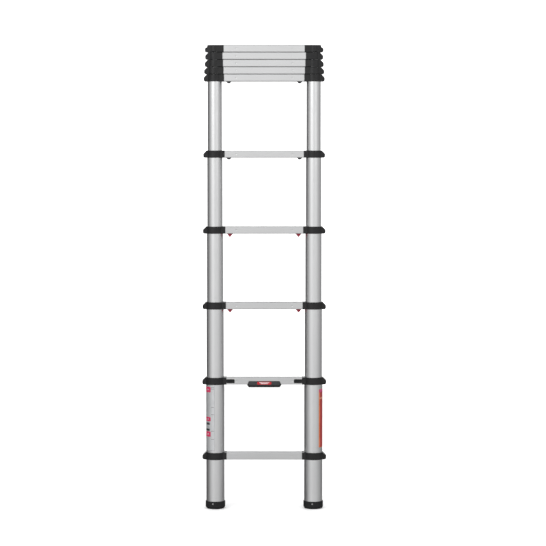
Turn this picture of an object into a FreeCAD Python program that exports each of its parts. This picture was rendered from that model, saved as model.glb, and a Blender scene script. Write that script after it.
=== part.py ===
"""Telescoping ladder: ten rungs on nine pairs of nested aluminium tubes.

Millimetres, +Z up. The origin is on the floor, midway between the two feet, and the
front of the ladder faces -Y. Rung 1 is clamped half way up the largest tube. Every
other rung sits on top of a tube: rung 2 on tube 1, and so on up to rung 10 on tube 9.
Sections 2 to 5 are drawn pulled out and sections 6 to 9 pushed in, so rungs 6 to 10
lie on each other at the top.
"""

import FreeCAD, Part
import os

import Sketcher

RUNG_COUNT = 10
TUBE_COUNT = RUNG_COUNT - 1
FIRST_STACKED_RUNG = 6
RUNGS_WITH_PINS = range(2, RUNG_COUNT)
RUNGS_WITH_TRIGGERS = range(3, RUNG_COUNT)
RUNGS_WITH_LARGE_TRIGGERS = (3, 4)
RIVET_ANGLES = {"left": -14, "right": -7}

DRIVING_SIZES = {
    "rung_pitch": 298,
    "stack_pitch": 28.5,
    "first_rung_height": 210,
    "tube_spacing": 388,
    "base_tube_diameter": 72,
    "tube_step": 4,
    "tube_wall": 1.6,
    "tube_overlap": 60,
    "rung_height": 28,
    "rung_depth": 46,
    "rung_wall": 1.8,
    "rung_corner": 2.5,
    "tread_groove": 2.2,
    "tread_groove_depth": 0.8,
    "tread_groove_pitch": 5,
    "crimp_inset": 84,
    "crimp_radius": 6,
    "crimp_depth": 0.8,
    "collar_wall": 4,
    "collar_block": 9,
    "collar_depth": 52,
    "collar_chamfer": 1.2,
    "cap_chamfer": 3,
    "collar_lip": 3,
    "nose_reach": 15,
    "cap_nose_reach": 18,
    "nose_face": 15,
    "nose_rounding": 7,
    "nose_root_inset": 5,
    "nose_root_width": 40,
    "nose_tip_width": 24,
    "cap_nose_top": 20,
    "cap_shoulder": 9,
    "cap_block": 16,
    "spigot_length": 8,
    "fit_gap": 0.1,
    "sliding_gap": 0.3,
    "cut_overrun": 1,
    "foot_diameter": 78,
    "foot_height": 30,
    "foot_floor": 5,
    "foot_rounding": 10,
    "foot_lip": 1,
    "rivet_diameter": 7,
    "rivet_height": 1.1,
    "rivet_shank": 2.7,
    "rivet_level": 21,
    "plug_flange": 4,
    "plug_spigot": 16,
    "plug_ring": 5,
    "pin_radius": 4,
    "pin_nose": 10,
    "pin_rod_radius": 3,
    "pin_flange": 2,
    "pin_reach": 80,
    "pin_travel": 8,
    "button_inset": 61,
    "button_width": 32,
    "button_height": 15,
    "button_thickness": 4,
    "button_tongue": 12,
    "button_corner": 2,
    "button_groove": 2,
    "button_groove_pitch": 2.6,
    "button_groove_margin": 2.5,
    "trigger_depth": 18,
    "trigger_fork": 9,
    "trigger_flange": 2,
    "trigger_flange_reach": 1.5,
    "large_trigger_inset": 59,
    "large_trigger_width": 24,
    "large_trigger_tip": 3,
    "large_trigger_drop": 13,
    "small_trigger_inset": 55,
    "small_trigger_width": 20,
    "small_trigger_tip": 9,
    "small_trigger_drop": 7,
    "grip_width": 135,
    "grip_height": 25,
    "grip_point": 7,
    "grip_point_drop": 15,
    "grip_thickness": 3,
    "grip_rounding": 8,
}

X_AXIS = FreeCAD.Vector(1, 0, 0)
Y_AXIS = FreeCAD.Vector(0, 1, 0)
ALONG_X = FreeCAD.Rotation(Y_AXIS, 90)
UPRIGHT = FreeCAD.Rotation()

doc = FreeCAD.newDocument("TelescopingLadder")


# ---------------------------------------------------------------- sheet and helpers

def make_sheet():
    """Put the driving sizes in a spreadsheet, one alias for each."""
    sheet = doc.addObject("Spreadsheet::Sheet", "sizes")
    for row, (alias, value) in enumerate(DRIVING_SIZES.items(), start=1):
        sheet.set(f"A{row}", alias)
        sheet.set(f"B{row}", str(value))
        sheet.setAlias(f"B{row}", alias)
    doc.recompute()
    return sheet


sheet = make_sheet()


def bound(text):
    """Turn the driving sizes named in an expression into references to the sheet."""
    words = text.replace("(", " ( ").replace(")", " ) ").split()
    return " ".join(f"sizes.{word}" if word in DRIVING_SIZES else word for word in words)


def measure(text):
    """The present value of an expression, in millimetres."""
    return float(sheet.evalExpression(bound(text)))


def bind(item, **expressions):
    for name, text in expressions.items():
        item.setExpression(name, bound(text))


def place(item, x="0", y="0", z="0", rotation=UPRIGHT):
    item.Placement = FreeCAD.Placement(FreeCAD.Vector(), rotation)
    for axis, text in zip("xyz", (x, y, z)):
        item.setExpression(f"Placement.Base.{axis}", bound(text))


def box(name, low, size):
    """A box from its low corner and its size along X, Y and Z."""
    item = doc.addObject("Part::Box", name)
    bind(item, Length=size[0], Width=size[1], Height=size[2])
    place(item, *low)
    return item


def cylinder(name, radius, length, start, rotation=UPRIGHT):
    item = doc.addObject("Part::Cylinder", name)
    bind(item, Radius=radius, Height=length)
    place(item, *start, rotation=rotation)
    return item


def fuse(name, pieces):
    item = doc.addObject("Part::MultiFuse", name)
    item.Shapes = pieces
    return item


def cut(name, base, tool):
    item = doc.addObject("Part::Cut", name)
    item.Base = base
    item.Tool = tool
    return item


def mirrored(name, source):
    """The same piece on the other side of the ladder."""
    item = doc.addObject("Part::Mirroring", name)
    item.Source = source
    item.Normal = X_AXIS
    return item


def group(label, pieces):
    """Several separate solids that make one sub-part."""
    item = doc.addObject("Part::Compound", label)
    item.Links = pieces
    return item


def body(name):
    return doc.addObject("PartDesign::Body", name)


def sketch_on(owner, role, name):
    sketch = owner.newObject("Sketcher::SketchObject", name)
    plane = next(item for item in owner.Origin.OriginFeatures if item.Role == role)
    sketch.AttachmentSupport = [(plane, "")]
    sketch.MapMode = "FlatFace"
    return sketch


def pin_point(sketch, line, point, across, up):
    """Fix one sketch point at the two expressions given, from the sketch's origin."""
    for kind, text in (("DistanceX", across), ("DistanceY", up)):
        number = sketch.addConstraint(
            Sketcher.Constraint(kind, -1, 1, line, point, measure(text)))
        sketch.setExpression(f"Constraints[{number}]", bound(text))


def polygon(sketch, corners):
    """A closed outline of straight lines through the corners."""
    points = [FreeCAD.Vector(measure(across), measure(up), 0) for across, up in corners]
    first = sketch.GeometryCount
    for here, after in zip(points, points[1:] + points[:1]):
        sketch.addGeometry(Part.LineSegment(here, after))
    for index, (across, up) in enumerate(corners):
        following = (index + 1) % len(corners)
        sketch.addConstraint(
            Sketcher.Constraint("Coincident", first + index, 2, first + following, 1))
        pin_point(sketch, first + index, 1, across, up)


def rectangle(sketch, left, bottom, right, top):
    polygon(sketch, [(left, bottom), (right, bottom), (right, top), (left, top)])


def circle(sketch, across, up, radius):
    centre = FreeCAD.Vector(measure(across), measure(up), 0)
    number = sketch.addGeometry(
        Part.Circle(centre, FreeCAD.Vector(0, 0, 1), measure(radius)))
    pin_point(sketch, number, 3, across, up)
    constraint = sketch.addConstraint(Sketcher.Constraint("Radius", number, measure(radius)))
    sketch.setExpression(f"Constraints[{constraint}]", bound(radius))


def pad(owner, sketch, length, symmetric=False, reversed_way=False):
    feature = owner.newObject("PartDesign::Pad", sketch.Name + "_pad")
    feature.Profile = sketch
    feature.SideType = "Symmetric" if symmetric else "One side"
    feature.Reversed = reversed_way
    bind(feature, Length=length)
    return feature


def pocket(owner, sketch, length, symmetric=False, reversed_way=False):
    """Cut a sketch out of a body, and make sure that the cut removes something."""
    doc.recompute()
    before = owner.Shape.Volume
    feature = owner.newObject("PartDesign::Pocket", sketch.Name + "_pocket")
    feature.Profile = sketch
    feature.SideType = "Symmetric" if symmetric else "One side"
    feature.Reversed = reversed_way
    bind(feature, Length=length)
    doc.recompute()
    if owner.Shape.Volume > before - 1:
        raise RuntimeError(f"{feature.Name} cuts nothing")
    return feature


def round_edges(owner, radius, is_wanted):
    """Fillet the edges of a body that a test picks out."""
    doc.recompute()
    shaped = owner.Tip
    edges = [f"Edge{number}" for number, edge in enumerate(shaped.Shape.Edges, start=1)
             if is_wanted(edge.BoundBox)]
    feature = owner.newObject("PartDesign::Fillet", f"{shaped.Name}_rounded")
    feature.Base = (shaped, edges)
    bind(feature, Radius=radius)


def revolve(owner, sketch):
    """Turn a sketch once round its upright axis."""
    feature = owner.newObject("PartDesign::Revolution", f"{sketch.Name}_turned")
    feature.Profile = sketch
    feature.ReferenceAxis = (sketch, ["V_Axis"])
    feature.Angle = 360


# ---------------------------------------------------------------- shared positions

def tube_radius(number):
    return f"( base_tube_diameter / 2 - {number - 1} * tube_step / 2 )"


def tube_under(rung):
    """The number of the tube that carries a rung."""
    return max(rung - 1, 1)


def rung_level(rung):
    """Height of a rung's middle above the floor."""
    spread = min(rung, FIRST_STACKED_RUNG) - 1
    stacked = max(rung - FIRST_STACKED_RUNG, 0)
    return f"( first_rung_height + {spread} * rung_pitch + {stacked} * stack_pitch )"


def rung_underside(rung):
    return f"( {rung_level(rung)} - rung_height / 2 )"


def block_face(rung):
    """Distance from the tube's axis to the collar face that the rung butts on."""
    block = "cap_block" if rung == RUNG_COUNT else "collar_block"
    return f"( {tube_radius(tube_under(rung))} + {block} )"


LEFT_AXIS = "( 0 - tube_spacing / 2 )"


def is_stacked(rung):
    """True if the rung lies on the one below, so its triggers are pushed in."""
    return rung > FIRST_STACKED_RUNG


# ---------------------------------------------------------------- tubes

def lock_hole(name, level):
    """A cutter for a lock pin's hole, on the side of the tube that faces the rungs."""
    radius = "pin_radius + sliding_gap"
    return cylinder(name, radius, "base_tube_diameter", (LEFT_AXIS, "0", level), ALONG_X)


def left_tube(number):
    radius = tube_radius(number)
    top_rung = number + 1
    top = f"{rung_level(top_rung)} + rung_height / 2 - collar_lip - fit_gap"
    lower_hole = f"( {rung_level(top_rung)} - rung_pitch )"
    bottom = "foot_floor" if number == 1 else f"( {lower_hole} - tube_overlap )"
    length = f"{top} - {bottom}"
    start = (LEFT_AXIS, "0", bottom)
    outside = cylinder(f"tube_{number}_outside", radius, length, start)
    inside = cylinder(f"tube_{number}_inside", f"{radius} - tube_wall", length, start)
    cutters = [inside]
    if top_rung in RUNGS_WITH_PINS:
        cutters.append(lock_hole(f"tube_{number}_upper_hole", rung_level(top_rung)))
    if number > 1:
        cutters.append(lock_hole(f"tube_{number}_lower_hole", lower_hole))
    tool = fuse(f"tube_{number}_cutters", cutters) if len(cutters) > 1 else inside
    return cut(f"tube_{number}_left", outside, tool), bottom


def left_guide_plug(number, bottom):
    """The ring in the foot of an inner tube, which slides in the next tube out."""
    radius = tube_radius(number)
    flange_start = (LEFT_AXIS, "0", f"{bottom} - plug_flange")
    flange = cylinder(f"plug_{number}_flange", f"{radius} + fit_gap", "plug_flange", flange_start)
    spigot_radius = f"{radius} - tube_wall - fit_gap"
    spigot = cylinder(f"plug_{number}_spigot", spigot_radius, "plug_spigot",
                      (LEFT_AXIS, "0", bottom))
    solid = fuse(f"plug_{number}_solid", [flange, spigot])
    bore = cylinder(f"plug_{number}_bore", f"{spigot_radius} - plug_ring",
                    "plug_flange + plug_spigot", flange_start)
    return cut(f"plug_{number}_left", solid, bore)


def tube_pair(number):
    tube, bottom = left_tube(number)
    pieces = [tube]
    if number > 1:
        pieces.append(left_guide_plug(number, bottom))
    others = [mirrored(piece.Name.replace("_left", "_right"), piece) for piece in pieces]
    return group(f"tubes_{number}", pieces + others)


# ---------------------------------------------------------------- rungs

def tread_grooves(rung, half_length, top):
    """Cutters for the anti-slip grooves along the top of a rung."""
    for step in range(-3, 4):
        low = (f"0 - {half_length}", f"{step} * tread_groove_pitch - tread_groove / 2",
               f"{top} - tread_groove_depth")
        size = (f"2 * {half_length}", "tread_groove", "2 * tread_groove_depth")
        yield box(f"rung_{rung}_groove_{step + 4}", low, size)


def crimp_marks(rung):
    """Cutters for the round crimp marks on the front and back, two for each end."""
    for side in (-1, 1):
        for face in (-1, 1):
            mark = doc.addObject("Part::Sphere", f"rung_{rung}_crimp")
            bind(mark, Radius="crimp_radius")
            place(mark, f"{side} * ( tube_spacing / 2 - crimp_inset )",
                  f"{face} * ( rung_depth / 2 + crimp_radius - crimp_depth )",
                  rung_level(rung))
            yield mark


def button_slots(rung):
    """Cutters for the slots in the front wall that the buttons' tongues run in."""
    gap = "sliding_gap"
    width = f"( button_tongue + pin_travel + 2 * {gap} )"
    outer_edge = f"( tube_spacing / 2 - button_inset + button_tongue / 2 + {gap} )"
    height = f"( pin_rod_radius * 2 + 2 * {gap} )"
    for name, low_x in (("left", f"0 - {outer_edge}"), ("right", f"{outer_edge} - {width}")):
        low = (low_x, "0 - rung_depth", f"{rung_level(rung)} - {height} / 2")
        yield box(f"rung_{rung}_slot_{name}", low, (width, "rung_depth", height))


def trigger_windows(rung):
    """Cutters for the windows in the underside that the triggers come out of."""
    inset, width, _, _ = trigger_sizes(rung)
    reach = f"( tube_spacing / 2 - {inset} )"
    for name, centre in (("left", f"0 - {reach}"), ("right", reach)):
        low = (f"{centre} - {width} / 2 - sliding_gap", "0 - trigger_depth / 2 - sliding_gap",
               f"{rung_underside(rung)} - rung_wall")
        size = (f"{width} + 2 * sliding_gap", "trigger_depth + 2 * sliding_gap", "3 * rung_wall")
        yield box(f"rung_{rung}_window_{name}", low, size)


def make_rung(rung):
    half_length = f"( tube_spacing / 2 - {block_face(rung)} )"
    low = (f"0 - {half_length}", "0 - rung_depth / 2", rung_underside(rung))
    outside = box(f"rung_{rung}_outside", low, (f"2 * {half_length}", "rung_depth", "rung_height"))
    rounded = doc.addObject("Part::Fillet", f"rung_{rung}_rounded")
    doc.recompute()
    long_edges = [number for number, edge in enumerate(outside.Shape.Edges, start=1)
                  if abs(edge.tangentAt(edge.FirstParameter).x) > 0.9]
    rounded.Base = outside
    corner = measure("rung_corner")
    rounded.Edges = [(number, corner, corner) for number in long_edges]

    wall = "rung_wall"
    hollow_low = (low[0], f"{low[1]} + {wall}", f"{low[2]} + {wall}")
    hollow_size = (f"2 * {half_length}", f"rung_depth - 2 * {wall}", f"rung_height - 2 * {wall}")
    cutters = [box(f"rung_{rung}_hollow", hollow_low, hollow_size)]
    cutters += tread_grooves(rung, half_length, f"{rung_underside(rung)} + rung_height")
    cutters += crimp_marks(rung)
    if rung == 2:
        cutters += button_slots(rung)
    if rung in RUNGS_WITH_TRIGGERS:
        cutters += trigger_windows(rung)
    return cut(f"rung_{rung}", rounded, fuse(f"rung_{rung}_cutters", cutters))


# ---------------------------------------------------------------- collars and caps

def chamfered_section(sketch, half_width, height, chamfer):
    """A block's section: half_width each side of the middle, with its corners cut."""
    inner = f"{half_width} - {chamfer}"
    polygon(sketch, [
        (f"0 - ( {inner} )", "0"), (inner, "0"), (half_width, chamfer),
        (half_width, f"{height} - {chamfer}"), (inner, height), (f"0 - ( {inner} )", height),
        (f"0 - {half_width}", f"{height} - {chamfer}"), (f"0 - {half_width}", chamfer)])


def add_nose(owner, rung, height):
    """The outward nose: a round tip, with an upper side that slopes down to it."""
    radius = tube_radius(tube_under(rung))
    if rung == RUNG_COUNT:
        reach = "cap_nose_reach"
        shoulder = f"( 0 - {radius} - cap_shoulder )"
        upper_side = [(shoulder, "cap_nose_top"), (shoulder, f"{height} - cap_chamfer"),
                      (f"{shoulder} + cap_chamfer", height)]
    else:
        reach = "nose_reach"
        upper_side = [(f"0 - {radius} - collar_wall / 2", height)]
    tip = f"( {radius} + {reach} )"
    profile = sketch_on(owner, "XZ_Plane", owner.Name + "_nose")
    polygon(profile, [("0", "0"), (f"0 - {tip}", "0"), (f"0 - {tip}", "nose_face"),
                      *upper_side, ("0", height)])
    pad(owner, profile, "nose_root_width", symmetric=True)
    taper = sketch_on(owner, "XY_Plane", owner.Name + "_taper")
    outer_edge = "( nose_root_width / 2 + cut_overrun )"
    for side in (-1, 1):
        polygon(taper, [
            (f"0 - {tip} - cut_overrun", f"{side} * nose_tip_width / 2"),
            (f"nose_root_inset - {radius}", f"{side} * {outer_edge}"),
            (f"0 - {tip} - cut_overrun", f"{side} * {outer_edge}")])
    pocket(owner, taper, height, reversed_way=True)
    tip_face = -measure(tip) + 0.01
    round_edges(owner, "nose_rounding", lambda bounds: bounds.XMax < tip_face)


def add_ring(owner, radius, height, chamfer):
    """The round part that wraps the tube."""
    outside = f"( {radius} + collar_wall )"
    profile = sketch_on(owner, "XZ_Plane", owner.Name + "_ring")
    polygon(profile, [
        ("0", "0"), (f"{outside} - {chamfer}", "0"), (outside, chamfer),
        (outside, f"{height} - {chamfer}"), (f"{outside} - {chamfer}", height), ("0", height)])
    revolve(owner, profile)


def left_collar(rung):
    """One collar, drawn round its tube's axis, with the nose towards -X."""
    owner = body(f"collar_{rung}_left")
    radius = tube_radius(tube_under(rung))
    height = "rung_height"
    is_cap = rung == RUNG_COUNT
    add_nose(owner, rung, height)
    add_ring(owner, radius, height, "cap_chamfer" if is_cap else "collar_chamfer")

    block = sketch_on(owner, "YZ_Plane", owner.Name + "_block")
    depth = "rung_depth" if is_cap else "collar_depth"
    chamfered_section(block, f"( {depth} / 2 )", height, "collar_chamfer")
    pad(owner, block, block_face(rung))

    spigot = sketch_on(owner, "YZ_Plane", owner.Name + "_spigot")
    margin = "( rung_wall + sliding_gap )"
    rectangle(spigot, f"{margin} - rung_depth / 2", margin,
              f"rung_depth / 2 - {margin}", f"{height} - {margin}")
    spigot_end = f"( {block_face(rung)} + spigot_length )"
    pad(owner, spigot, spigot_end)
    if rung in RUNGS_WITH_TRIGGERS:
        gap = sketch_on(owner, "XY_Plane", owner.Name + "_trigger_gap")
        half_gap = "( trigger_depth / 2 + 2 * sliding_gap )"
        rectangle(gap, block_face(rung), f"0 - {half_gap}", f"{spigot_end} + cut_overrun",
                  half_gap)
        pocket(owner, gap, height, reversed_way=True)

    bore = sketch_on(owner, "XY_Plane", owner.Name + "_bore")
    circle(bore, "0", "0", f"{radius} + fit_gap")
    bore_depth = height if rung == 1 else f"{height} - collar_lip"
    pocket(owner, bore, bore_depth, reversed_way=True)
    if rung in RUNGS_WITH_PINS:
        throat = sketch_on(owner, "XY_Plane", owner.Name + "_throat")
        circle(throat, "0", "0", f"{radius} - tube_wall")
        pocket(owner, throat, height, reversed_way=True)
        channel = sketch_on(owner, "YZ_Plane", owner.Name + "_channel")
        circle(channel, "0", f"{height} / 2", "pin_radius + sliding_gap")
        pocket(owner, channel, spigot_end, reversed_way=True)
    place(owner, LEFT_AXIS, "0", rung_underside(rung))
    return owner


def collar_pair(rung):
    left = left_collar(rung)
    return group(f"collars_{rung}", [left, mirrored(f"collar_{rung}_right", left)])


# ---------------------------------------------------------------- locks

def left_pin(rung):
    """The lock pin in the left end of a rung: nose, rod and end flange on one axis."""
    shift = "pin_travel" if is_stacked(rung) else "0"
    start = f"( {LEFT_AXIS} + {tube_radius(rung)} + sliding_gap + {shift} )"
    level = rung_level(rung)
    rod_length = f"( pin_reach - {tube_radius(rung)} - sliding_gap )"
    nose = cylinder(f"pin_{rung}_nose", "pin_radius", "pin_nose", (start, "0", level), ALONG_X)
    rod = cylinder(f"pin_{rung}_rod", "pin_rod_radius", rod_length, (start, "0", level), ALONG_X)
    flange_start = f"{start} + {rod_length} - sliding_gap"
    flange = cylinder(f"pin_{rung}_flange", "pin_radius", "pin_flange",
                      (flange_start, "0", level), ALONG_X)
    return fuse(f"pin_left_{rung}", [nose, rod, flange])


def left_button():
    """The sliding release button on the front of rung 2, ribbed for the thumb."""
    owner = body("button_left")
    plate = sketch_on(owner, "XZ_Plane", "button_plate")
    half_width = "button_width / 2"
    half_height = "button_height / 2"
    corner = "button_corner"
    polygon(plate, [
        (f"{corner} - {half_width}", f"0 - {half_height}"),
        (f"{half_width} - {corner}", f"0 - {half_height}"),
        (half_width, f"{corner} - {half_height}"), (half_width, f"{half_height} - {corner}"),
        (f"{half_width} - {corner}", half_height), (f"{corner} - {half_width}", half_height),
        (f"0 - {half_width}", f"{half_height} - {corner}"),
        (f"0 - {half_width}", f"{corner} - {half_height}")])
    pad(owner, plate, "button_thickness")

    tongue = sketch_on(owner, "XZ_Plane", "button_tongue_section")
    rectangle(tongue, "0 - button_tongue / 2", "0 - pin_rod_radius", "button_tongue / 2",
              "pin_rod_radius")
    pad(owner, tongue, "rung_depth / 2 - pin_rod_radius", reversed_way=True)

    grooves = sketch_on(owner, "YZ_Plane", "button_grooves")
    face = "( 0 - button_thickness )"
    for step in (-2, -1, 0, 1, 2):
        middle = f"( {step} * button_groove_pitch )"
        polygon(grooves, [(f"{face} - cut_overrun", f"{middle} - button_groove / 2"),
                          (f"{face} + button_groove / 2", middle),
                          (f"{face} - cut_overrun", f"{middle} + button_groove / 2")])
    pocket(owner, grooves, "button_width - 2 * button_groove_margin", symmetric=True)
    place(owner, f"{LEFT_AXIS} + button_inset", "0 - rung_depth / 2 - sliding_gap", rung_level(2))
    return owner


def trigger_sizes(rung):
    """Inset from the tube's axis, width, width at the tip and drop below the rung."""
    size = "large" if rung in RUNGS_WITH_LARGE_TRIGGERS else "small"
    return [f"{size}_trigger_{name}" for name in ("inset", "width", "tip", "drop")]


def left_trigger(rung):
    """A wedge that points down under a rung. Its fork straddles the pin's rod."""
    inset, width, tip, drop = trigger_sizes(rung)
    owner = body(f"trigger_{rung}_left")
    outline = sketch_on(owner, "XZ_Plane", owner.Name + "_wedge")
    half = f"{width} / 2"
    flange_low = "( rung_wall + sliding_gap )"
    flange_top = f"( {flange_low} + trigger_flange )"
    flange_edge = f"( {half} + trigger_flange_reach )"
    polygon(outline, [
        (f"0 - {half}", "0"), (f"0 - {tip} / 2", f"0 - {drop}"), (f"{tip} / 2", f"0 - {drop}"),
        (half, "0"), (half, flange_low), (flange_edge, flange_low), (flange_edge, flange_top),
        (f"0 - {flange_edge}", flange_top), (f"0 - {flange_edge}", flange_low),
        (f"0 - {half}", flange_low)])
    pad(owner, outline, "trigger_depth", symmetric=True)

    fork = sketch_on(owner, "YZ_Plane", owner.Name + "_fork")
    floor = f"( rung_height / 2 - pin_radius - 2 * sliding_gap - {drop} )"
    rectangle(fork, "0 - trigger_fork / 2", floor, "trigger_fork / 2",
              f"{flange_top} + cut_overrun")
    pocket(owner, fork, "trigger_depth * 2", symmetric=True)
    shift = drop if is_stacked(rung) else "0"
    place(owner, f"{LEFT_AXIS} + {inset}", "0", f"{rung_underside(rung)} + {shift}")
    return owner


def trigger_pair(rung):
    left = left_trigger(rung)
    return group(f"triggers_{rung}", [left, mirrored(f"trigger_{rung}_right", left)])


# ---------------------------------------------------------------- grip, feet, rivets

def make_grip():
    """The hand grip clipped under the middle of rung 2, with blunt pointed ends."""
    owner = body("grip")
    front = sketch_on(owner, "XZ_Plane", "grip_front")
    half = "grip_width / 2"
    shoulder = f"( {half} - grip_point )"
    polygon(front, [
        (f"0 - {shoulder}", "0"), (f"0 - {half}", "0 - grip_point_drop"),
        (f"0 - {shoulder}", "0 - grip_height"), (shoulder, "0 - grip_height"),
        (half, "0 - grip_point_drop"), (shoulder, "0")])
    pad(owner, front, "rung_depth + 2 * grip_thickness", symmetric=True)

    seat = sketch_on(owner, "YZ_Plane", "grip_seat")
    rectangle(seat, "0 - rung_depth / 2 - fit_gap", "0 - rung_height / 2 - fit_gap",
              "rung_depth", "grip_height")
    pocket(owner, seat, "2 * grip_width", symmetric=True)

    underside = -measure("grip_height") + 0.01
    round_edges(owner, "grip_rounding",
                lambda bounds: bounds.ZMax < underside and bounds.YLength < 0.01)
    place(owner, "0", "0", rung_level(2))
    return owner


def rivet_aim(angle):
    """The direction that a foot's rivet points in, turned from dead ahead."""
    turn = FreeCAD.Rotation(FreeCAD.Vector(0, 0, 1), angle)
    return turn.multiply(FreeCAD.Rotation(X_AXIS, 90))


def along_rivet(item, axis, angle, distance):
    """Place a round piece on a rivet's line, at a distance from the tube's axis."""
    aim = rivet_aim(angle)
    outwards = aim.multVec(FreeCAD.Vector(0, 0, 1))
    place(item, f"{axis} + {outwards.x} * {distance}", f"{outwards.y} * {distance}",
          "rivet_level", rotation=aim)
    return item


def round_piece(name, radius, length):
    item = doc.addObject("Part::Cylinder", name)
    bind(item, Radius=radius, Height=length)
    return item


RIVET_SEAT = "( foot_diameter / 2 - fit_gap )"


def rivet(side, axis, angle):
    """A rivet through the front of a foot."""
    head = doc.addObject("Part::Cone", f"rivet_{side}_head")
    bind(head, Radius1="rivet_diameter / 2", Radius2="rivet_diameter / 3",
         Height="rivet_height")
    shank = round_piece(f"rivet_{side}_shank", "rivet_diameter / 4", "rivet_shank")
    along_rivet(head, axis, angle, RIVET_SEAT)
    along_rivet(shank, axis, angle, f"( {RIVET_SEAT} - rivet_shank )")
    return fuse(f"rivet_{side}", [head, shank])


def make_foot(side, axis, angle):
    """A rubber cap on the end of the base tube, with a rounded lower edge."""
    owner = body(f"foot_{side}_rubber")
    profile = sketch_on(owner, "XZ_Plane", owner.Name + "_profile")
    outside = "( foot_diameter / 2 )"
    tube = f"( {tube_radius(1)} + fit_gap )"
    floor = "( foot_floor - fit_gap )"
    polygon(profile, [
        ("0", "0"), (outside, "0"), (outside, "foot_height - foot_lip"),
        (f"{outside} - foot_lip", "foot_height"), (tube, "foot_height"), (tube, floor),
        ("0", floor)])
    revolve(owner, profile)
    round_edges(owner, "foot_rounding", lambda bounds: bounds.ZMax < 0.01)
    place(owner, axis)
    seat = round_piece(f"foot_{side}_seat", "rivet_diameter / 2 + fit_gap", "foot_floor")
    hole = round_piece(f"foot_{side}_hole", "rivet_diameter / 4 + fit_gap", "foot_diameter")
    along_rivet(seat, axis, angle, RIVET_SEAT)
    along_rivet(hole, axis, angle, "( foot_diameter / 4 )")
    return cut(f"foot_{side}", owner, fuse(f"foot_{side}_cutters", [seat, hole]))


# ---------------------------------------------------------------- assembly

def build():
    """Make every sub-part and return them by name."""
    parts = []
    parts += [tube_pair(number) for number in range(1, TUBE_COUNT + 1)]
    parts += [make_rung(rung) for rung in range(1, RUNG_COUNT + 1)]
    parts += [collar_pair(rung) for rung in range(1, RUNG_COUNT + 1)]
    for rung in RUNGS_WITH_PINS:
        left = left_pin(rung)
        parts += [left, mirrored(f"pin_right_{rung}", left)]
    parts += [trigger_pair(rung) for rung in RUNGS_WITH_TRIGGERS]
    button = left_button()
    parts += [button, mirrored("button_right", button), make_grip()]
    stiles = {"left": LEFT_AXIS, "right": "tube_spacing / 2"}
    rivets = []
    for side, axis in stiles.items():
        angle = RIVET_ANGLES[side]
        parts.append(make_foot(side, axis, angle))
        rivets.append(rivet(side, axis, angle))
    parts.append(group("foot_rivets", rivets))
    for part in parts:
        part.Label = part.Name
    doc.recompute()
    return parts


def check(parts):
    for item in doc.Objects:
        if "Invalid" in item.State or "Error" in item.State:
            raise RuntimeError(f"{item.Name} failed: {item.State}")
    for part in parts:
        if part.Shape.isNull() or not part.Shape.isValid() or not part.Shape.Solids:
            raise RuntimeError(f"{part.Label} has no valid shape")


def export(parts):
    os.makedirs("parts", exist_ok=True)
    for part in parts:
        part.Shape.exportStep(f"parts/{part.Label}.step")


ladder = build()
check(ladder)
export(ladder)
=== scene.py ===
import math

import bmesh
import bpy
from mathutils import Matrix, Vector


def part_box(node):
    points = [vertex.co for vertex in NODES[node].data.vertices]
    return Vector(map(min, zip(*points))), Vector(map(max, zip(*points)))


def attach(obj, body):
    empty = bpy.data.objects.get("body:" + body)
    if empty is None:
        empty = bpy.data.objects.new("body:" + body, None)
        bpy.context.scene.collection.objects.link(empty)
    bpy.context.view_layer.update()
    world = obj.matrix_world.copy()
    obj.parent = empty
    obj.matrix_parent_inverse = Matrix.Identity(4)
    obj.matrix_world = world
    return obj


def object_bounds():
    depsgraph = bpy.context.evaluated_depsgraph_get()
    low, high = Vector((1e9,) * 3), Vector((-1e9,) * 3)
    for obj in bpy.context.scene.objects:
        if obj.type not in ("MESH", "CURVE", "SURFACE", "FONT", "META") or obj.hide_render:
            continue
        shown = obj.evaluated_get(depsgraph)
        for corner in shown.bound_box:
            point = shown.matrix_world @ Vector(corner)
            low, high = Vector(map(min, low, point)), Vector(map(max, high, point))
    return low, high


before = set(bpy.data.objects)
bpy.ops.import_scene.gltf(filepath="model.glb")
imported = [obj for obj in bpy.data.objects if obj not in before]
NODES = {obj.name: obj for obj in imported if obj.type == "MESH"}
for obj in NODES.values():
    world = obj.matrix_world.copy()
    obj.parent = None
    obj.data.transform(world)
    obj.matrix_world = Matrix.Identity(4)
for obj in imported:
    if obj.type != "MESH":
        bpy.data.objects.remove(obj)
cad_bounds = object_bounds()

MM = 0.001

FILM_THICKNESS = 0.08 * MM
FIRST_LAYER = 0.1 * MM
SECOND_LAYER = 0.2 * MM
THIRD_LAYER = 0.3 * MM

FLOOR_RADIUS = 4.2
WALL_RADIUS = 28
WALL_HEIGHT = 40
FLOOR_LIGHT_HEIGHT = 4.2

CAMERA_ASIDE = 0.0345
CAMERA_DISTANCE = 8.0
CAMERA_HEIGHT = 1.42
AIM_HEIGHT = 0.934
LENS = 134
SENSOR_WIDTH = 36


# ---------------------------------------------------------------- places taken from the frame

def centre(node, axis):
    low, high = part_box(node)
    return (low[axis] + high[axis]) / 2


LEFT_AXIS = centre("foot_left", 0)
RIGHT_AXIS = centre("foot_right", 0)
BASE_RADIUS = LEFT_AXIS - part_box("tubes_1")[0][0]
LOW_RUNG_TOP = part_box("rung_1")[1][2]
SECOND_RUNG_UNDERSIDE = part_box("rung_2")[0][2]
GRIP_LOW, GRIP_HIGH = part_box("grip")
TOP_OF_LADDER = cad_bounds[1][2]


# ---------------------------------------------------------------- node helpers

def fill_ramp(node, stops):
    """Set a colour ramp from (position, colour or grey) pairs."""
    elements = node.color_ramp.elements
    while len(elements) < len(stops):
        elements.new(1.0)
    for element, (position, colour) in zip(elements, stops):
        grey = isinstance(colour, (int, float))
        element.position = position
        element.color = (colour, colour, colour, 1) if grey else (*colour, 1)


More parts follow.
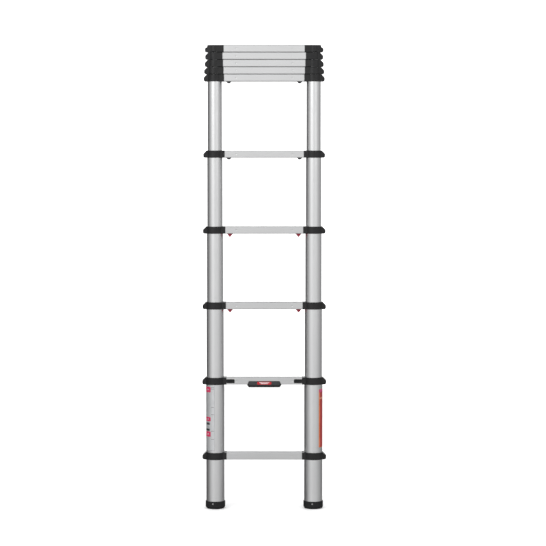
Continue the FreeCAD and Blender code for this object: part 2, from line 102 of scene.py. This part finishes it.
class Shader:
    """A new material with short ways to add and join its nodes."""

    def __init__(self, name, roughness, metallic=0.0, specular=0.5):
        self.material = bpy.data.materials.new(name)
        self.material.use_nodes = True
        self.nodes = self.material.node_tree.nodes
        self.links = self.material.node_tree.links
        self.surface = self.nodes["Principled BSDF"]
        self.surface.inputs["Roughness"].default_value = roughness
        self.surface.inputs["Metallic"].default_value = metallic
        self.surface.inputs["Specular IOR Level"].default_value = specular

    def add(self, kind, **values):
        node = self.nodes.new(kind)
        for name, value in values.items():
            setattr(node, name, value)
        return node

    def place(self, stretch=(1, 1, 1)):
        """Object coordinates in metres, stretched along the axes."""
        coordinates = self.add("ShaderNodeTexCoord")
        mapping = self.add("ShaderNodeMapping")
        mapping.inputs["Scale"].default_value = stretch
        self.links.new(coordinates.outputs["Object"], mapping.inputs["Vector"])
        return mapping.outputs["Vector"]

    def noise(self, scale, detail=3.0, stretch=(1, 1, 1), roughness=0.5):
        """A noise factor that keeps its place on the object."""
        node = self.add("ShaderNodeTexNoise")
        node.inputs["Scale"].default_value = scale
        node.inputs["Detail"].default_value = detail
        node.inputs["Roughness"].default_value = roughness
        self.links.new(self.place(stretch), node.inputs["Vector"])
        return node.outputs["Fac"]

    def ramp(self, factor, stops):
        """Colours or greys along a 0 to 1 factor."""
        node = self.add("ShaderNodeValToRGB")
        fill_ramp(node, stops)
        self.links.new(factor, node.inputs["Fac"])
        return node.outputs["Color"]

    def mix(self, factor, first, second):
        """Blend two colours. Each input is another node's output or a plain value."""
        node = self.add("ShaderNodeMix", data_type="RGBA")
        sockets = {socket.name: socket for socket in node.inputs if socket.enabled}
        for name, value in (("Factor", factor), ("A", first), ("B", second)):
            if isinstance(value, bpy.types.NodeSocket):
                self.links.new(value, sockets[name])
            elif isinstance(value, tuple):
                sockets[name].default_value = (*value, 1)
            else:
                sockets[name].default_value = value
        return next(out for out in node.outputs if out.enabled)

    def colour(self, source):
        self.links.new(source, self.surface.inputs["Base Color"])

    def rough(self, source):
        self.links.new(source, self.surface.inputs["Roughness"])

    def bump(self, *layers):
        """Stack (height, strength, distance) layers of bump."""
        normal = None
        for height, strength, distance in layers:
            node = self.add("ShaderNodeBump")
            node.inputs["Strength"].default_value = strength
            node.inputs["Distance"].default_value = distance
            self.links.new(height, node.inputs["Height"])
            if normal is not None:
                self.links.new(normal, node.inputs["Normal"])
            normal = node.outputs["Normal"]
        self.links.new(normal, self.surface.inputs["Normal"])


# ---------------------------------------------------------------- materials

def anodised_aluminium(name, grain, roughness, tone_level):
    """Satin anodised extrusion: die lines along the grain, faint cloudiness and small scuffs."""
    shader = Shader(name, roughness, metallic=1.0)
    fine = tuple(1.0 if along else 60.0 for along in grain)
    lines = shader.noise(22, detail=4, stretch=fine)
    cloud = shader.noise(7, detail=5)
    scuffs = shader.noise(90, detail=6, stretch=(1.6, 1.0, 0.6), roughness=0.7)
    dull, plain, bright = (tuple(tone_level * factor + tint for tint in (0, 0.004, 0.008))
                           for factor in (0.96, 1.02, 1.05))
    tone = shader.ramp(cloud, [(0.3, dull), (0.7, plain)])
    streaks = shader.ramp(lines, [(0.35, dull), (0.65, bright)])
    shader.colour(shader.mix(0.45, tone, streaks))
    shader.rough(shader.ramp(scuffs, [(0.35, roughness + 0.05), (0.62, roughness - 0.03),
                                      (0.8, roughness - 0.07)]))
    shader.bump((lines, 0.10, 0.0002), (scuffs, 0.04, 0.0001))
    return shader.material


def moulded_plastic(name, dark, light, roughness):
    """Spark-eroded moulded plastic: fine grain, slight mottling and rubbed patches."""
    shader = Shader(name, roughness, specular=0.42)
    grain = shader.noise(1400, detail=2)
    mottle = shader.noise(35, detail=4)
    rubbed = shader.noise(60, detail=8, roughness=0.75)
    body = shader.ramp(mottle, [(0.35, dark), (0.7, light)])
    worn = tuple(min(1.0, channel * 1.5 + 0.008) for channel in light)
    shader.colour(shader.mix(shader.ramp(rubbed, [(0.60, 0.0), (0.78, 0.5)]), body, worn))
    shader.rough(shader.ramp(rubbed, [(0.3, roughness + 0.06), (0.75, roughness - 0.08)]))
    shader.bump((grain, 0.22, 0.0002), (mottle, 0.05, 0.0004))
    return shader.material


def foot_rubber():
    """Matt rubber with a dusty, scuffed lower edge."""
    shader = Shader("foot_rubber", 0.7, specular=0.3)
    grain = shader.noise(900, detail=3)
    dust = shader.noise(55, detail=7, roughness=0.7)
    height = shader.add("ShaderNodeSeparateXYZ")
    shader.links.new(shader.place(), height.inputs["Vector"])
    low_edge = shader.add("ShaderNodeMapRange")
    low_edge.inputs["From Min"].default_value = 0.0
    low_edge.inputs["From Max"].default_value = 12 * MM
    low_edge.inputs["To Min"].default_value = 0.2
    low_edge.inputs["To Max"].default_value = 0.05
    shader.links.new(height.outputs["Z"], low_edge.inputs["Value"])
    amount = shader.add("ShaderNodeMath", operation="MULTIPLY")
    shader.links.new(low_edge.outputs["Result"], amount.inputs[0])
    shader.links.new(shader.ramp(dust, [(0.4, 0.0), (0.7, 1.0)]), amount.inputs[1])
    shader.colour(shader.mix(amount.outputs["Value"], (0.008, 0.008, 0.009), (0.045, 0.042, 0.04)))
    shader.rough(shader.ramp(dust, [(0.3, 0.60), (0.8, 0.8)]))
    shader.bump((grain, 0.3, 0.0002), (dust, 0.1, 0.0004))
    return shader.material


def brushed_steel():
    """Bright steel with a fine brushed grain."""
    shader = Shader("brushed_steel", 0.35, metallic=1.0)
    brushing = shader.noise(400, detail=4, stretch=(1, 1, 8))
    shader.colour(shader.ramp(brushing, [(0.3, 0.42), (0.7, 0.58)]))
    shader.rough(shader.ramp(brushing, [(0.3, 0.28), (0.7, 0.42)]))
    shader.bump((brushing, 0.08, 0.0001))
    return shader.material


def printed_film(name, colour, faded, roughness=0.35, metallic=0.0):
    """Printed adhesive film: a little faded, with tiny bubbles and a satin face."""
    shader = Shader(name, roughness, metallic=metallic)
    fading = shader.noise(30, detail=5)
    bubbles = shader.noise(260, detail=2)
    shader.colour(shader.mix(shader.ramp(fading, [(0.35, 0.0), (0.75, 1.0)]), colour, faded))
    shader.rough(shader.ramp(fading, [(0.3, roughness - 0.05), (0.7, roughness + 0.1)]))
    shader.bump((bubbles, 0.05, 0.0002))
    return shader.material


def studio_floor():
    """Pale seamless paper."""
    shader = Shader("studio_floor", 0.9, specular=0.1)
    fibres = shader.noise(40, detail=5)
    shader.colour(shader.ramp(fibres, [(0.3, 0.885), (0.7, 0.90)]))
    shader.bump((fibres, 0.03, 0.0005))
    return shader.material


TUBE_METAL = anodised_aluminium("anodised_tube", (False, False, True), 0.33, 0.84)
# Same anodised aluminium as the tubes, given a darker tone as painted shade: it dims the rungs' front
# faces, which face the bright front of the studio.
SHADED_RUNG_METAL = anodised_aluminium("anodised_rung_painted_shade", (True, False, False), 0.36, 0.75)
BLACK_PLASTIC = moulded_plastic("black_plastic", (0.005, 0.005, 0.0055), (0.008, 0.008, 0.0085), 0.38)
BUTTON_PLASTIC = moulded_plastic("button_plastic", (0.006, 0.006, 0.0065), (0.01, 0.01, 0.011), 0.46)
GRIP_PLASTIC = moulded_plastic("grip_plastic", (0.007, 0.007, 0.0075), (0.012, 0.012, 0.013), 0.4)
GREY_PLASTIC = moulded_plastic("grey_plastic", (0.04, 0.04, 0.043), (0.06, 0.06, 0.064), 0.45)
RED_PLASTIC = moulded_plastic("red_plastic", (0.26, 0.012, 0.03), (0.33, 0.018, 0.042), 0.38)
RUBBER = foot_rubber()
STEEL = brushed_steel()

CAD_MATERIALS = {
    "tubes_": TUBE_METAL,
    "rung_": SHADED_RUNG_METAL,
    "collars_": BLACK_PLASTIC,
    "pin_": STEEL,
    "triggers_": GREY_PLASTIC,
    "triggers_3": RED_PLASTIC,
    "triggers_4": RED_PLASTIC,
    "button_": BUTTON_PLASTIC,
    "grip": GRIP_PLASTIC,
    "foot_left": RUBBER,
    "foot_right": RUBBER,
    "foot_rivets": STEEL,
}


def dress_cad_nodes():
    """Give each CAD node the material of the longest name that it starts with."""
    for name, node in NODES.items():
        key = max((start for start in CAD_MATERIALS if name.startswith(start)), key=len)
        node.data.materials.clear()
        node.data.materials.append(CAD_MATERIALS[key])


# ---------------------------------------------------------------- pieces

def mesh_object(name, maker, material):
    """Turn a bmesh into an object in the scene."""
    mesh = bpy.data.meshes.new(name)
    maker.to_mesh(mesh)
    maker.free()
    mesh.materials.append(material)
    item = bpy.data.objects.new(name, mesh)
    bpy.context.scene.collection.objects.link(item)
    return item


def finish_piece(name, maker, material, body, bevel=0.0, thickness=0.0):
    """Make a smooth object that rides on a body."""
    piece = mesh_object(name, maker, material)
    for face in piece.data.polygons:
        face.use_smooth = True
    if thickness:
        shell = piece.modifiers.new("thickness", "SOLIDIFY")
        shell.thickness = thickness
        shell.offset = 1.0
    if bevel:
        rounding = piece.modifiers.new("rounding", "BEVEL")
        rounding.width = bevel
        rounding.segments = 3
        rounding.limit_method = "ANGLE"
    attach(piece, body)
    return piece


def corner_inset(edge, corner):
    """How far a rounded corner draws the side in, at a distance from the end."""
    if edge >= corner:
        return 0.0
    return corner - math.sqrt(max(corner ** 2 - (corner - edge) ** 2, 0.0))


def tube_patch(name, axis, from_angle, to_angle, low, high, material, corner=2 * MM,
               lift=FIRST_LAYER):
    """A film stuck round a base tube. Angles are from dead ahead, positive to the right."""
    maker = bmesh.new()
    across_steps = 24
    up_steps = max(8, int((high - low) / (2 * MM)))
    middle = math.radians((from_angle + to_angle) / 2)
    half_angle = math.radians(abs(to_angle - from_angle) / 2)
    radius = BASE_RADIUS + lift
    corner = min(corner, half_angle * radius, (high - low) / 2)
    rows = []
    for step in range(up_steps + 1):
        height = low + (high - low) * step / up_steps
        edge = min(height - low, high - height)
        half = half_angle - corner_inset(edge, corner) / radius
        row = []
        for across in range(across_steps + 1):
            angle = middle + half * (2 * across / across_steps - 1)
            row.append(maker.verts.new((axis + radius * math.sin(angle),
                                        -radius * math.cos(angle), height)))
        rows.append(row)
    for lower, upper in zip(rows, rows[1:]):
        for index in range(across_steps):
            maker.faces.new((lower[index], lower[index + 1], upper[index + 1], upper[index]))
    return finish_piece(name, maker, material, "base", thickness=FILM_THICKNESS)


def flat_plate(name, outline, front, thickness, material, bevel=0.3 * MM):
    """A plate that faces -Y, from an outline of (x, z) points."""
    maker = bmesh.new()
    ring = [maker.verts.new((x, front + thickness, z)) for x, z in outline]
    face = maker.faces.new(ring)
    raised = bmesh.ops.extrude_face_region(maker, geom=[face])["geom"]
    corners = [item for item in raised if isinstance(item, bmesh.types.BMVert)]
    bmesh.ops.translate(maker, verts=corners, vec=(0, -thickness, 0))
    bmesh.ops.recalc_face_normals(maker, faces=maker.faces)
    piece = finish_piece(name, maker, material, "base", bevel=bevel)
    for polygon in piece.data.polygons:
        polygon.use_smooth = False
    return piece


def rounded_rectangle(middle_x, middle_z, width, height, radius, steps=6):
    """An outline of (x, z) points, with a quarter circle at each corner."""
    points = []
    for quarter, (side_x, side_z) in enumerate(((1, 1), (-1, 1), (-1, -1), (1, -1))):
        for step in range(steps + 1):
            angle = math.radians(90 * quarter + 90 * step / steps)
            points.append((middle_x + side_x * (width / 2 - radius) + radius * math.cos(angle),
                           middle_z + side_z * (height / 2 - radius) + radius * math.sin(angle)))
    return points


def left_label():
    """The clear film on the outer side of the left base tube, with plain coloured marks."""
    film = printed_film("pale_film", (0.66, 0.67, 0.68), (0.58, 0.59, 0.60), 0.36, metallic=0.75)
    red = printed_film("red_print", (0.40, 0.01, 0.065), (0.48, 0.03, 0.09))
    black = printed_film("black_print", (0.02, 0.02, 0.024), (0.04, 0.04, 0.045))
    top = SECOND_RUNG_UNDERSIDE - 2 * MM
    bottom = LOW_RUNG_TOP + 8 * MM
    tube_patch("label_left_film", LEFT_AXIS, -120, -2, bottom, top, film)
    squares = {"high": (6, 22), "middle": (126, 17), "low": (183, 21)}
    for name, (drop, height) in squares.items():
        high = top - drop * MM
        low = high - height * MM
        tube_patch(f"label_left_square_{name}", LEFT_AXIS, -84, -29, low, high, red,
                   lift=SECOND_LAYER)
        middle = (low + high) / 2
        tube_patch(f"label_left_dot_{name}", LEFT_AXIS, -56, -44, middle - 3.5 * MM,
                   middle + 3.5 * MM, film, corner=3.5 * MM, lift=THIRD_LAYER)
    for name, drop in (("high", 148), ("low", 172)):
        high = top - drop * MM
        tube_patch(f"label_left_bar_{name}", LEFT_AXIS, -76, -36, high - 9 * MM, high, black,
                   corner=0.5 * MM, lift=SECOND_LAYER)
    for index, drop in enumerate((8, 14, 86, 115, 181, 213)):
        high = top - drop * MM
        tube_patch(f"label_left_rule_{index}", LEFT_AXIS, -26, -6, high - 1.2 * MM, high, black,
                   corner=0.2 * MM, lift=SECOND_LAYER)


def right_label():
    """The coloured stripe down the outer side of the right base tube."""
    orange = printed_film("orange_print", (0.42, 0.10, 0.035), (0.48, 0.15, 0.07))
    red = printed_film("deep_red_print", (0.24, 0.014, 0.014), (0.30, 0.028, 0.026))
    pink = printed_film("pink_print", (0.34, 0.03, 0.11), (0.40, 0.06, 0.14))
    pale = printed_film("pale_print", (0.52, 0.27, 0.17), (0.48, 0.24, 0.15))
    top = SECOND_RUNG_UNDERSIDE - 17 * MM
    bottom = LOW_RUNG_TOP + 21 * MM
    tube_patch("label_right_edge", RIGHT_AXIS, 36, 118, bottom, top, orange)
    tube_patch("label_right_field", RIGHT_AXIS, 46, 116, bottom + 2 * MM, top - 2 * MM, red,
               lift=SECOND_LAYER)
    tube_patch("label_right_head", RIGHT_AXIS, 38, 117, top - 13 * MM, top - MM, pink,
               lift=THIRD_LAYER)
    tube_patch("label_right_band", RIGHT_AXIS, 40, 116, top - 39 * MM, top - 34 * MM, pale,
               corner=0.5 * MM, lift=THIRD_LAYER)


def grip_front():
    """Face plate on the grip, with a red insert and two plain bars where a badge would be."""
    face_grey = moulded_plastic("face_grey", (0.022, 0.022, 0.023), (0.032, 0.032, 0.034), 0.42)
    insert_red = moulded_plastic("insert_red", (0.33, 0.008, 0.014), (0.40, 0.015, 0.022), 0.3)
    bar_white = printed_film("bar_white", (0.74, 0.74, 0.75), (0.66, 0.66, 0.67))
    front = GRIP_LOW[1]
    middle_x = (GRIP_LOW[0] + GRIP_HIGH[0]) / 2
    top = GRIP_HIGH[2] - 1.2 * MM
    height = 13 * MM
    half = (GRIP_HIGH[0] - GRIP_LOW[0]) / 2 - 5 * MM
    plate = rounded_rectangle(middle_x, top - height / 2, 2 * half, height, 3 * MM)
    flat_plate("grip_face", plate, front - 0.5 * MM, 0.8 * MM, face_grey)
    middle_z = top - 6.5 * MM
    insert = rounded_rectangle(middle_x, middle_z, 56 * MM, 11.5 * MM, 4 * MM)
    flat_plate("grip_insert", insert, front - 1.2 * MM, 1.2 * MM, insert_red)
    for name, level, width in (("upper", 1.9, 40), ("lower", -1.9, 28)):
        bar = rounded_rectangle(middle_x, middle_z + level * MM, width * MM, 1.8 * MM, 0.8 * MM)
        flat_plate(f"grip_bar_{name}", bar, front - 1.4 * MM, 0.3 * MM, bar_white,
                   bevel=0.08 * MM)


# ---------------------------------------------------------------- stage, light and camera

def make_floor():
    """A round sheet of pale paper under the ladder."""
    maker = bmesh.new()
    bmesh.ops.create_circle(maker, cap_ends=True, segments=96, radius=FLOOR_RADIUS)
    floor = mesh_object("studio_floor", maker, studio_floor())
    floor.visible_glossy = False


def make_backdrop():
    """A tall white wall right round the stage, far off, that only the camera sees."""
    paper = Shader("backdrop_paper", 0.9, specular=0.0)
    mottle = paper.noise(0.5, detail=2)
    paper.links.new(paper.ramp(mottle, [(0.2, 0.98), (0.8, 1.0)]),
                    paper.surface.inputs["Emission Color"])
    paper.surface.inputs["Emission Strength"].default_value = 1.02
    maker = bmesh.new()
    bmesh.ops.create_cone(maker, cap_ends=False, segments=128, radius1=WALL_RADIUS,
                          radius2=WALL_RADIUS, depth=WALL_HEIGHT)
    bmesh.ops.reverse_faces(maker, faces=maker.faces)
    wall = mesh_object("backdrop", maker, paper.material)
    wall.visible_glossy = False
    wall.visible_diffuse = False
    wall.visible_shadow = False


# Brightness round the stage, by degrees from the front, positive to the right.
LIGHT_BY_ANGLE = {-180: 1.15, -162: 1.1, -156: 0.1, -112: 0.17, -84: 0.42, -54: 0.84, -26: 1.14,
                  -6: 0.98, 20: 0.96, 42: 0.86, 66: 0.69, 90: 0.54, 125: 0.35, 156: 0.28,
                  162: 1.1, 180: 1.15}
# Brightness by the height of the direction, from -1 straight down to 1 straight up.
LIGHT_BY_HEIGHT = {-0.4: 0.36, -0.2: 0.44, -0.1: 0.72, -0.03: 0.98, 0.0: 1.0, 0.45: 1.0, 0.8: 0.25}


def make_world():
    """A studio's surroundings, which the metal reflects: bright ahead and behind, darker aside."""
    world = bpy.data.worlds.new("studio")
    world.use_nodes = True
    bpy.context.scene.world = world
    nodes = world.node_tree.nodes
    links = world.node_tree.links
    background = nodes["Background"]
    direction = nodes.new("ShaderNodeTexCoord")
    parts = nodes.new("ShaderNodeSeparateXYZ")
    links.new(direction.outputs["Generated"], parts.inputs["Vector"])

    towards_front = nodes.new("ShaderNodeMath")
    towards_front.operation = "MULTIPLY"
    towards_front.inputs[1].default_value = -1.0
    links.new(parts.outputs["Y"], towards_front.inputs[0])
    azimuth = nodes.new("ShaderNodeMath")
    azimuth.operation = "ARCTAN2"
    links.new(parts.outputs["X"], azimuth.inputs[0])
    links.new(towards_front.outputs["Value"], azimuth.inputs[1])
    turn = nodes.new("ShaderNodeMapRange")
    turn.inputs["From Min"].default_value = -math.pi
    turn.inputs["From Max"].default_value = math.pi
    links.new(azimuth.outputs["Value"], turn.inputs["Value"])
    around = nodes.new("ShaderNodeValToRGB")
    around.color_ramp.interpolation = "EASE"
    fill_ramp(around, [((angle + 180) / 360, level) for angle, level in LIGHT_BY_ANGLE.items()])
    links.new(turn.outputs["Result"], around.inputs["Fac"])

    rise = nodes.new("ShaderNodeMapRange")
    rise.inputs["From Min"].default_value = -1.0
    links.new(parts.outputs["Z"], rise.inputs["Value"])
    upwards = nodes.new("ShaderNodeValToRGB")
    fill_ramp(upwards, [((height + 1) / 2, level) for height, level in LIGHT_BY_HEIGHT.items()])
    links.new(rise.outputs["Result"], upwards.inputs["Fac"])
    product = nodes.new("ShaderNodeVectorMath")
    product.operation = "MULTIPLY"
    links.new(around.outputs["Color"], product.inputs[0])
    links.new(upwards.outputs["Color"], product.inputs[1])
    links.new(product.outputs["Vector"], background.inputs["Color"])


def softbox(name, place, target, size, power, seen_in_gloss=True):
    """A rectangular lamp that shines from a place towards a target."""
    data = bpy.data.lights.new(name, "AREA")
    data.shape = "RECTANGLE"
    data.size, data.size_y = size
    data.energy = power
    light = bpy.data.objects.new(name, data)
    light.location = place
    light.rotation_euler = (Vector(target) - Vector(place)).to_track_quat("-Z", "Y").to_euler()
    light.visible_camera = False
    light.visible_glossy = seen_in_gloss
    bpy.context.scene.collection.objects.link(light)


def make_lights():
    """A wide lamp overhead that whitens the floor, and two softboxes in front."""
    middle = (0, 0, TOP_OF_LADDER / 2)
    overhead = (0, 0, FLOOR_LIGHT_HEIGHT)
    softbox("floor_light", overhead, (0, 0, 0), (16, 16), 1000, seen_in_gloss=False)
    softbox("key", (-2.6, -4.5, 3.6), middle, (2.4, 2.4), 55)
    softbox("fill", (3.4, -4.2, 2.6), middle, (2.0, 2.6), 8)


def make_camera():
    """A long lens straight in front, at chest height, tilted a little down."""
    data = bpy.data.cameras.new("camera")
    data.lens = LENS
    data.sensor_width = SENSOR_WIDTH
    camera = bpy.data.objects.new("camera", data)
    eye = Vector((CAMERA_ASIDE, -CAMERA_DISTANCE, CAMERA_HEIGHT))
    target = Vector((CAMERA_ASIDE, 0, AIM_HEIGHT))
    camera.location = eye
    camera.rotation_euler = (target - eye).to_track_quat("-Z", "Y").to_euler()
    bpy.context.scene.collection.objects.link(camera)
    bpy.context.scene.camera = camera


dress_cad_nodes()
left_label()
right_label()
grip_front()
make_floor()
make_backdrop()
make_world()
make_lights()
make_camera()
bpy.context.scene.view_settings.view_transform = "Standard"
